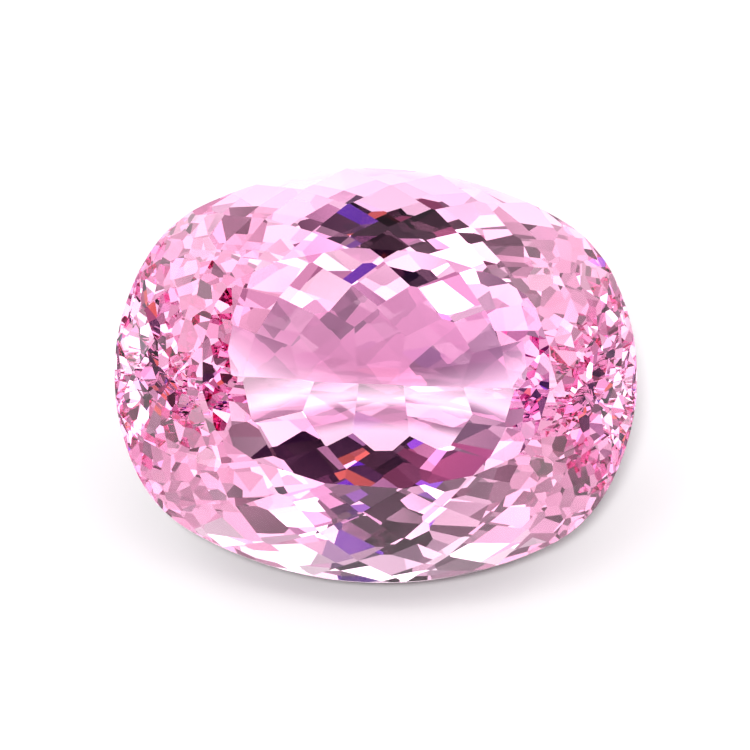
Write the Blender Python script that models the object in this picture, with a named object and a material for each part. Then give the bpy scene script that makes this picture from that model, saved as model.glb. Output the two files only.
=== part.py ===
"""A large faceted kunzite: an oval cushion with a many-rowed pavilion that ends in a keel.

The stone is cut the way a lapidary cuts it. A rough prism with the girdle's outline is ground
down by flat facets, row after row. Each row has its own slope, stays parallel to the outline, and
sits between the columns of the row before it, so that four facets meet in a point and most of
them are rhombs. Units are metres, +Z is up, and the finished stone lies on a pavilion facet.
"""
import math
import random

import bmesh
import bpy
from mathutils import Matrix, Vector

# Outline of the girdle, seen square to the table: three arcs in each quarter
LENGTH = 0.0240
WIDTH = 0.0191
SIDE_RADIUS = 0.0177
END_RADIUS = 0.0106
CORNER_RADIUS = 0.0061
GIRDLE_FLATS = 120
GIRDLE_THICKNESS = 0.0005

# Facet columns all round the stone, in degrees from the right end of its long axis, and how far
# all of them are turned on against the outline
CROWN_COLUMNS = (0, 18.5, 37.5, 56, 72, 86, 100, 113.5, 129, 145.5, 162.5,
                 180, 198.5, 217.5, 236, 252, 266, 280, 293.5, 309, 325.5, 342.5)
PAVILION_COLUMNS = (6.5, 24, 42, 58.75, 72.75, 86.5, 100.25, 114, 132, 150, 168.5,
                    187, 205, 223.5, 241.5, 255.75, 269.5, 283.25, 297, 314.5, 332, 349)
SIDE_COLUMN_STEP = 13.75
COLUMN_TURN = 2.8

# Slopes of the rows to the girdle plane, in degrees, from the girdle inwards
CROWN_SLOPES = (49.9, 41.9, 35.3, 30.5, 25.6)
PAVILION_SLOPES = (60.5, 56.0, 51.2, 46.3, 41.2, 36.9, 32.8)
PAVILION_END_STEEPNESS = 1.22

# A hand-cut stone: how far a facet strays from its row's slope and its column's angle, in degrees
SLOPE_STRAY = 0.08
ANGLE_STRAY = 0.2
STRAY_SEED = 11

# The pavilion facet that the stone lies on: its row, its place round the stone, and how much
# deeper than its row it is ground, which makes it a broader foot
REST_ROW = 4
REST_FACET = 16
REST_OVERCUT = 0.00005

# The stone is cut at this scale, where single-precision corners stay sharp, then made life size
CUTTING_SCALE = 1000.0
MEET_TOLERANCE = 0.0002
ROUGH_HEIGHT = 0.040

CROWN = 1
PAVILION = -1
STONE_COLOUR = (0.86, 0.42, 0.68, 1.0)


def corner_arc_centre(side_centre, end_centre):
    """Centre of the corner arc, which meets the side arc and the end arc smoothly."""
    from_side = SIDE_RADIUS - CORNER_RADIUS
    from_end = END_RADIUS - CORNER_RADIUS
    apart = end_centre - side_centre
    along = (apart.length_squared + from_side ** 2 - from_end ** 2) / (2 * apart.length)
    across = math.sqrt(from_side ** 2 - along ** 2)
    towards = apart.normalized()
    return side_centre + towards * along + Vector((towards.y, -towards.x)) * across


def outline_touch(angle):
    """Point of the outline where a flat held at this angle touches it."""
    side_centre = Vector((0.0, WIDTH / 2 - SIDE_RADIUS))
    end_centre = Vector((LENGTH / 2 - END_RADIUS, 0.0))
    corner_centre = corner_arc_centre(side_centre, end_centre)
    side_limit = math.atan2(corner_centre.y - side_centre.y, corner_centre.x - side_centre.x)
    end_limit = math.atan2(corner_centre.y - end_centre.y, corner_centre.x - end_centre.x)

    direction = Vector((math.cos(angle), math.sin(angle)))
    quarter = Vector((abs(direction.x), abs(direction.y)))
    quarter_angle = math.atan2(quarter.y, quarter.x)
    if quarter_angle < end_limit:
        touch = end_centre + quarter * END_RADIUS
    elif quarter_angle > side_limit:
        touch = side_centre + quarter * SIDE_RADIUS
    else:
        touch = corner_centre + quarter * CORNER_RADIUS
    return Vector((math.copysign(touch.x, direction.x), math.copysign(touch.y, direction.y)))


def row_insets(slopes):
    """How far inside the outline each row's planes cross the girdle's edge level, and the height
    of the last meeting point. On the long side a row starts where the two rows before it meet."""
    tangents = [math.tan(math.radians(slope)) for slope in slopes]
    half_step = math.cos(math.radians(SIDE_COLUMN_STEP / 2))
    crossings = [SIDE_RADIUS]
    start_radius = SIDE_RADIUS
    start_height = tangents[0] * (crossings[0] - start_radius * half_step)
    for row in range(1, len(tangents)):
        crossings.append(start_radius + start_height / tangents[row])
        rise = tangents[row] * crossings[row] - tangents[row - 1] * crossings[row - 1]
        start_radius = rise / (tangents[row] * half_step - tangents[row - 1])
        start_height = tangents[row - 1] * (crossings[row - 1] - start_radius)
    return [SIDE_RADIUS - crossing for crossing in crossings], start_height


def row_angles(columns, between):
    """Angles of a row's facets in degrees, on the columns or halfway between them."""
    if not between:
        return columns
    following = columns[1:] + (columns[0] + 360,)
    return [(angle + after) / 2 for angle, after in zip(columns, following)]


def facet(inset, edge_height, angle, slope, side):
    """A facet's plane: its outward direction and how far out it lies."""
    inwards = Vector((-math.cos(angle), -math.sin(angle)))
    point = (outline_touch(angle) + inwards * inset).to_3d() + Vector((0.0, 0.0, edge_height))
    steep = math.sin(slope)
    outward = Vector((math.cos(angle) * steep, math.sin(angle) * steep, side * math.cos(slope)))
    return outward, outward.dot(point)


def cut_rows(columns, slopes, end_steepness, side, hand):
    """Every facet of one side, row by row from the girdle inwards."""
    insets, _ = row_insets(slopes)
    rows = []
    for number, slope in enumerate(slopes):
        row = []
        for angle in row_angles(columns, number % 2 == 1):
            turn = math.radians(angle + COLUMN_TURN + hand.uniform(-ANGLE_STRAY, ANGLE_STRAY))
            steeper = 1 + (end_steepness - 1) * math.cos(turn) ** 4
            tilt = math.atan(math.tan(math.radians(slope)) * steeper)
            tilt += math.radians(hand.uniform(-SLOPE_STRAY, SLOPE_STRAY))
            row.append(facet(insets[number], side * GIRDLE_THICKNESS / 2, turn, tilt, side))
        rows.append(row)
    return rows


def rough_prism():
    """The rough stone: an upright prism with the girdle's outline."""
    rough = bmesh.new()
    ring = bmesh.ops.create_circle(rough, cap_ends=True, segments=GIRDLE_FLATS, radius=1.0)["verts"]
    for vert in ring:
        touch = outline_touch(math.atan2(vert.co.y, vert.co.x))
        vert.co = Vector((touch.x, touch.y, -ROUGH_HEIGHT / 2)) * CUTTING_SCALE
    grown = bmesh.ops.extrude_face_region(rough, geom=rough.faces[:])["geom"]
    top = [part for part in grown if isinstance(part, bmesh.types.BMVert)]
    bmesh.ops.translate(rough, verts=top, vec=Vector((0.0, 0.0, ROUGH_HEIGHT * CUTTING_SCALE)))
    bmesh.ops.recalc_face_normals(rough, faces=rough.faces[:])
    return rough


def grind(stone, outward, distance):
    """Grind one facet: take away what lies outside its plane and close the flat."""
    everything = stone.verts[:] + stone.edges[:] + stone.faces[:]
    bmesh.ops.bisect_plane(stone, geom=everything, dist=MEET_TOLERANCE, clear_outer=True,
                           plane_co=outward * distance * CUTTING_SCALE, plane_no=outward)
    rim = [edge for edge in stone.edges if edge.is_boundary]
    if rim:
        bmesh.ops.contextual_create(stone, geom=rim)


def cut_stone():
    """The whole stone in its own frame, table up, and the facet that it will lie on."""
    hand = random.Random(STRAY_SEED)
    crown = cut_rows(CROWN_COLUMNS, CROWN_SLOPES, 1.0, CROWN, hand)
    pavilion = cut_rows(PAVILION_COLUMNS, PAVILION_SLOPES, PAVILION_END_STEEPNESS, PAVILION, hand)
    outward, distance = pavilion[REST_ROW][REST_FACET]
    pavilion[REST_ROW][REST_FACET] = (outward, distance - REST_OVERCUT)
    _, crown_height = row_insets(CROWN_SLOPES)
    table = (Vector((0.0, 0.0, 1.0)), GIRDLE_THICKNESS / 2 + crown_height)
    stone = rough_prism()
    for row in crown + pavilion + [[table]]:
        for outward, distance in row:
            grind(stone, outward, distance)
    bmesh.ops.recalc_face_normals(stone, faces=stone.faces[:])
    bmesh.ops.scale(stone, verts=stone.verts[:], vec=Vector((1.0, 1.0, 1.0)) / CUTTING_SCALE)
    return stone, pavilion[REST_ROW][REST_FACET]


def resting_place(mesh, rest):
    """Turn and move that lays the stone on its rest facet, centred over the origin."""
    outward, distance = rest
    turn = outward.rotation_difference(Vector((0.0, 0.0, -1.0))).to_matrix().to_4x4()
    points = [turn @ vert.co for vert in mesh.vertices]
    centre_x = (min(point.x for point in points) + max(point.x for point in points)) / 2
    centre_y = (min(point.y for point in points) + max(point.y for point in points)) / 2
    return Matrix.Translation((-centre_x, -centre_y, distance)) @ turn


def stone_material():
    """Transparent pink."""
    material = bpy.data.materials.new("kunzite_pink")
    material.use_nodes = True
    shader = material.node_tree.nodes["Principled BSDF"]
    shader.inputs["Base Color"].default_value = STONE_COLOUR
    shader.inputs["Roughness"].default_value = 0.0
    shader.inputs["Metallic"].default_value = 0.0
    shader.inputs["Transmission Weight"].default_value = 1.0
    shader.inputs["IOR"].default_value = 1.67
    return material


def main():
    for old in list(bpy.data.objects):
        bpy.data.objects.remove(old)
    collection = bpy.data.collections.new("kunzite")
    bpy.context.scene.collection.children.link(collection)
    cut, rest = cut_stone()
    mesh = bpy.data.meshes.new("kunzite")
    cut.to_mesh(mesh)
    cut.free()
    mesh.materials.append(stone_material())
    stone = bpy.data.objects.new("kunzite", mesh)
    stone.matrix_world = resting_place(mesh, rest)
    collection.objects.link(stone)


main()
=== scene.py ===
"""A large faceted kunzite lying on a pale studio floor, seen almost square to its table."""
import math

import bpy
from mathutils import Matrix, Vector

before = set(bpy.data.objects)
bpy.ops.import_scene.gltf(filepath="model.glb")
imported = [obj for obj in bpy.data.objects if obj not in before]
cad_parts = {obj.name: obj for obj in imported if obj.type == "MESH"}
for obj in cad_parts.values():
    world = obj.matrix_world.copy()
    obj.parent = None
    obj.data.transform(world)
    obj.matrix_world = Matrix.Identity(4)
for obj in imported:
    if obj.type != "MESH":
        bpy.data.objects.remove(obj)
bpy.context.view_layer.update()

# Camera: how it looks at the middle of the girdle, in metres and degrees
LOOK_AT = (-0.00003, -0.00036, 0.00807)
CAMERA_AZIMUTH = 2.6
CAMERA_ELEVATION = 43.4
CAMERA_DISTANCE = 0.180
FRAME_WIDTH = 0.0345
SENSOR_WIDTH = 36.0
NEAREST_SEEN = 0.001

# Kunzite: how it bends light, how strongly one metre of it takes up each colour, and the faint
# clear and pink zones that it grew in
CRYSTAL_IOR = 1.665
ABSORPTION_COLOUR = (0.88, 0.1, 0.55)
ABSORPTION_DENSITY = 25.5
CLEAR_ZONE = (1.0, 1.0, 1.0)
PINK_ZONE = (0.98, 0.92, 0.96)
ZONE_SCALE = 110.0
NOISE_DETAIL = 1.0

# Floor: white acrylic, a hair below the stone. The air between them keeps the facet that the stone
# lies on a mirror from inside
FLOOR_SIZE = 3.0
FLOOR_GAP = 0.00002
FLOOR_ROUGHNESS = 0.6
# Painted light: the floor's base colour is lighter round the stone and dimmer beyond it
PAINTED_LIT_COLOUR = (0.7, 0.7, 0.7)
PAINTED_DIM_COLOUR = (0.4, 0.4, 0.4)

# Oval spots on the floor, all painted light: a painted pool of light round the stone, a painted
# pale glow for the light that it gathers under itself and a painted pink glow for the light that
# it throws behind itself. Each has a middle, a half length and half width in metres, and the share
# of them where it is full
LIT_CENTRE = (0.0, 0.009, 0.0)
LIT_RADII = (0.07, 0.07, 1.0)
LIT_CORE = 0.39
PALE_CENTRE = (0.0, 0.0058, 0.0)
PALE_RADII = (0.0125, 0.0095, 1.0)
PALE_CORE = 0.45
PAINTED_PALE_LIGHT = (1.42, 1.13, 1.33)
PINK_CENTRE = (0.0, 0.00795, 0.0)
PINK_RADII = (0.0135, 0.00285, 1.0)
PINK_CORE = 0.34
PAINTED_PINK_TINT = (0.46, 0.28, 0.42)
PAINTED_PINK_LIGHT = (0.95, 0.42, 0.68)
NO_LIGHT = (0.0, 0.0, 0.0)

# The painted pink glow comes in diamonds, as the facets break light: how many there are to a metre
# each way, how far they are turned in degrees, how soft their edges are and how unevenly they lie
DIAMONDS = (750.0, 1000.0, 1.0)
DIAMOND_TURN = 45.0
DIAMOND_SOFTNESS = 0.03
DIAMOND_STRAY = 0.12

# Studio: a white tent seen from the stone, unevenly bright from darkest to lightest
TENT_COLOUR = (1.0, 1.0, 1.0)
CLUTTER_SCALE = 4.0
CLUTTER_DARKEST = 0.2
CLUTTER_LIGHTEST = 2.9
NOISE_LOW = 0.35
NOISE_HIGH = 0.65

# Soft boxes and dark flags on the tent: azimuth and elevation in degrees (azimuth 0 is the camera's
# side, 90 its right), the angle to where each starts to fade, the angle to where it ends, and its
# colour. A later one hangs in front of those before it
PATCHES = (
    (180.0, 55.0, 18.0, 38.0, (0.34, 0.26, 0.32)),
    (80.0, 28.0, 12.0, 34.0, (0.68, 0.5, 0.57)),
    (-75.0, 25.0, 10.0, 28.0, (0.8, 0.64, 0.7)),
    (50.0, 62.0, 10.0, 26.0, (1.5, 1.6, 1.5)),
    (-60.0, 60.0, 8.0, 22.0, (1.4, 1.4, 1.4)),
    (4.0, 34.0, 26.0, 40.0, (1.2, 0.8, 1.1)),
    (-25.0, 22.0, 13.0, 25.0, (0.3, 0.1, 0.18)),
    (10.0, 38.0, 9.0, 16.0, (0.02, 0.005, 0.035)),
    (30.0, 18.0, 14.0, 20.0, (0.02, 0.004, 0.03)),
    (6.0, 24.0, 4.0, 9.0, (0.75, 0.22, 0.15)),
    (-12.0, 52.0, 11.0, 15.0, (0.006, 0.002, 0.006)),
    (13.0, 54.0, 2.0, 7.0, (0.1, 0.03, 0.42)),
    (-30.0, 47.0, 1.5, 5.0, (0.15, 0.05, 0.45)),
)

# Lamp beside the camera, which throws the stone's shadow behind it: where it is from the stone, how
# wide it is and its power in watts
LAMP_AZIMUTH = -3.0
LAMP_ELEVATION = 47.5
LAMP_DISTANCE = 0.6
LAMP_SIZE = 0.08
LAMP_POWER = 3.3

# How often light is followed on: through the stone and off its facets, and off the floor
CRYSTAL_BOUNCES = 32
FLOOR_BOUNCES = 4


def direction(azimuth, elevation):
    """Unit vector from the stone towards a place in the studio; azimuth 0 is the camera's side."""
    turn = math.radians(azimuth)
    rise = math.radians(elevation)
    return Vector((math.sin(turn) * math.cos(rise), -math.cos(turn) * math.cos(rise), math.sin(rise)))


def mix_colours(tree, share, first, second):
    """Mix node between two colours. Each is a socket or three numbers."""
    mix = tree.nodes.new("ShaderNodeMix")
    mix.data_type = "RGBA"
    tree.links.new(share, mix.inputs["Factor"])
    for name, colour in (("A", first), ("B", second)):
        if isinstance(colour, bpy.types.NodeSocket):
            tree.links.new(colour, mix.inputs[name])
        else:
            mix.inputs[name].default_value = (*colour, 1.0)
    return mix.outputs["Result"]


def soft_edge(tree, value, outside, inside):
    """A share that rises smoothly from 0 to 1 as the value goes from outside to inside."""
    edge = tree.nodes.new("ShaderNodeMapRange")
    edge.interpolation_type = "SMOOTHSTEP"
    edge.inputs["From Min"].default_value = outside
    edge.inputs["From Max"].default_value = inside
    tree.links.new(value, edge.inputs["Value"])
    return edge.outputs["Result"]


def noise(tree, position, scale):
    """Smooth noise over a position."""
    texture = tree.nodes.new("ShaderNodeTexNoise")
    texture.inputs["Scale"].default_value = scale
    texture.inputs["Detail"].default_value = NOISE_DETAIL
    tree.links.new(position, texture.inputs["Vector"])
    return texture.outputs["Fac"]


def crystal_material():
    """Clear pink crystal: plain transmission and absorption, polished to a mirror finish."""
    material = bpy.data.materials.new("kunzite_crystal")
    material.use_nodes = True
    tree = material.node_tree
    shader = tree.nodes["Principled BSDF"]
    coordinates = tree.nodes.new("ShaderNodeTexCoord")
    growth = noise(tree, coordinates.outputs["Object"], ZONE_SCALE)
    zoned = mix_colours(tree, growth, CLEAR_ZONE, PINK_ZONE)
    tree.links.new(zoned, shader.inputs["Base Color"])
    shader.inputs["Metallic"].default_value = 0.0
    shader.inputs["Roughness"].default_value = 0.0
    shader.inputs["IOR"].default_value = CRYSTAL_IOR
    shader.inputs["Transmission Weight"].default_value = 1.0

    absorption = tree.nodes.new("ShaderNodeVolumeAbsorption")
    absorption.inputs["Color"].default_value = (*ABSORPTION_COLOUR, 1.0)
    absorption.inputs["Density"].default_value = ABSORPTION_DENSITY
    output = tree.nodes["Material Output"]
    tree.links.new(absorption.outputs["Volume"], output.inputs["Volume"])
    return material


def floor_spot(tree, position, centre, radii, core):
    """How much of an oval spot reaches a place on the floor: 1 in its core, 0 outside it."""
    place = tree.nodes.new("ShaderNodeMapping")
    place.vector_type = "TEXTURE"
    place.inputs["Location"].default_value = centre
    place.inputs["Scale"].default_value = radii
    tree.links.new(position, place.inputs["Vector"])
    distance = tree.nodes.new("ShaderNodeVectorMath")
    distance.operation = "LENGTH"
    tree.links.new(place.outputs["Vector"], distance.inputs[0])
    return soft_edge(tree, distance.outputs["Value"], 1.0, core)


def diamonds(tree, position):
    """A random shade for each diamond of the painted pink glow on the floor."""
    cells = tree.nodes.new("ShaderNodeMapping")
    cells.inputs["Rotation"].default_value = (0.0, 0.0, math.radians(DIAMOND_TURN))
    cells.inputs["Scale"].default_value = DIAMONDS
    tree.links.new(position, cells.inputs["Vector"])
    pattern = tree.nodes.new("ShaderNodeTexVoronoi")
    pattern.feature = "SMOOTH_F1"
    pattern.distance = "MANHATTAN"
    pattern.inputs["Scale"].default_value = 1.0
    pattern.inputs["Smoothness"].default_value = DIAMOND_SOFTNESS
    pattern.inputs["Randomness"].default_value = DIAMOND_STRAY
    tree.links.new(cells.outputs["Vector"], pattern.inputs["Vector"])
    shade = tree.nodes.new("ShaderNodeSeparateColor")
    tree.links.new(pattern.outputs["Color"], shade.inputs["Color"])
    return shade.outputs["Red"]


def floor_material():
    """White acrylic with a painted pool of light and painted glows under and behind the stone."""
    material = bpy.data.materials.new("painted_glow_acrylic_floor")
    material.use_nodes = True
    tree = material.node_tree
    shader = tree.nodes["Principled BSDF"]
    shader.inputs["Roughness"].default_value = FLOOR_ROUGHNESS
    shader.inputs["Emission Strength"].default_value = 1.0
    position = tree.nodes.new("ShaderNodeTexCoord").outputs["Object"]
    lit = floor_spot(tree, position, LIT_CENTRE, LIT_RADII, LIT_CORE)
    pale = floor_spot(tree, position, PALE_CENTRE, PALE_RADII, PALE_CORE)
    pink = floor_spot(tree, position, PINK_CENTRE, PINK_RADII, PINK_CORE)

    # Painted pool of light: the base colour is lighter round the stone, dimmer beyond it
    acrylic = mix_colours(tree, lit, PAINTED_DIM_COLOUR, PAINTED_LIT_COLOUR)
    # Painted light: the base colour turns pink behind the stone, where its pink light would fall
    painted_pink_pool_colour = mix_colours(tree, pink, acrylic, PAINTED_PINK_TINT)
    tree.links.new(painted_pink_pool_colour, shader.inputs["Base Color"])

    # Painted light: a pale glow under the stone, for the light that it gathers there
    painted_pale_glow = mix_colours(tree, pale, NO_LIGHT, PAINTED_PALE_LIGHT)
    # Painted light: a pink glow in diamonds behind the stone, for the light that it throws
    painted_pink_glow = mix_colours(tree, diamonds(tree, position), NO_LIGHT, PAINTED_PINK_LIGHT)
    # Painted light: the floor glows pale under the stone and pink behind it
    light = mix_colours(tree, pink, painted_pale_glow, painted_pink_glow)
    tree.links.new(light, shader.inputs["Emission Color"])
    return material


def studio_world():
    """A white tent with soft boxes and dark flags on it, as the stone sees them."""
    world = bpy.data.worlds.new("studio_tent")
    bpy.context.scene.world = world
    world.use_nodes = True
    tree = world.node_tree
    background = tree.nodes["Background"]
    towards = tree.nodes.new("ShaderNodeTexCoord").outputs["Generated"]
    brightness = tree.nodes.new("ShaderNodeMapRange")
    brightness.inputs["From Min"].default_value = NOISE_LOW
    brightness.inputs["From Max"].default_value = NOISE_HIGH
    brightness.inputs["To Min"].default_value = CLUTTER_DARKEST
    brightness.inputs["To Max"].default_value = CLUTTER_LIGHTEST
    tree.links.new(noise(tree, towards, CLUTTER_SCALE), brightness.inputs["Value"])
    tree.links.new(brightness.outputs["Result"], background.inputs["Strength"])

    colour = TENT_COLOUR
    for azimuth, elevation, full, end, patch_colour in PATCHES:
        nearness = tree.nodes.new("ShaderNodeVectorMath")
        nearness.operation = "DOT_PRODUCT"
        nearness.inputs[1].default_value = direction(azimuth, elevation)
        tree.links.new(towards, nearness.inputs[0])
        end_nearness = math.cos(math.radians(end))
        full_nearness = math.cos(math.radians(full))
        patch = soft_edge(tree, nearness.outputs["Value"], end_nearness, full_nearness)
        colour = mix_colours(tree, patch, colour, patch_colour)
    tree.links.new(colour, background.inputs["Color"])


def add_floor():
    """The floor, a hair below the stone."""
    bpy.ops.object.select_all(action="DESELECT")
    bpy.ops.mesh.primitive_plane_add(size=FLOOR_SIZE, location=(0.0, 0.0, -FLOOR_GAP))
    bpy.ops.object.transform_apply(location=True)
    floor = bpy.context.object
    floor.name = "studio_floor"
    floor.data.materials.append(floor_material())


def add_camera():
    """The camera, almost square to the table."""
    towards_camera = direction(CAMERA_AZIMUTH, CAMERA_ELEVATION)
    bpy.ops.object.camera_add(location=Vector(LOOK_AT) + towards_camera * CAMERA_DISTANCE,
                              rotation=towards_camera.to_track_quat("Z", "Y").to_euler())
    camera = bpy.context.object
    camera.data.sensor_width = SENSOR_WIDTH
    camera.data.lens = SENSOR_WIDTH * CAMERA_DISTANCE / FRAME_WIDTH
    camera.data.clip_start = NEAREST_SEEN
    bpy.context.scene.camera = camera


def add_lamp():
    """The lamp beside the camera. The stone doesn't show it."""
    towards_lamp = direction(LAMP_AZIMUTH, LAMP_ELEVATION)
    bpy.ops.object.light_add(type="AREA",
                             location=Vector(LOOK_AT) + towards_lamp * LAMP_DISTANCE,
                             rotation=towards_lamp.to_track_quat("Z", "Y").to_euler())
    lamp = bpy.context.object
    lamp.name = "lamp"
    lamp.data.shape = "DISK"
    lamp.data.size = LAMP_SIZE
    lamp.data.energy = LAMP_POWER
    lamp.visible_glossy = False
    lamp.visible_transmission = False


def render_settings():
    """Plain colours, and light followed deep into the stone but not thrown on by it."""
    scene = bpy.context.scene
    scene.view_settings.view_transform = "Standard"
    scene.view_settings.look = "None"
    scene.cycles.max_bounces = CRYSTAL_BOUNCES
    scene.cycles.transmission_bounces = CRYSTAL_BOUNCES
    scene.cycles.glossy_bounces = CRYSTAL_BOUNCES
    scene.cycles.diffuse_bounces = FLOOR_BOUNCES
    scene.cycles.caustics_reflective = False
    scene.cycles.caustics_refractive = False
    scene.cycles.blur_glossy = 0.0
    scene.cycles.use_denoising = True


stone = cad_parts["kunzite"]
stone.material_slots[0].material = crystal_material()
add_floor()
add_camera()
add_lamp()
studio_world()
render_settings()
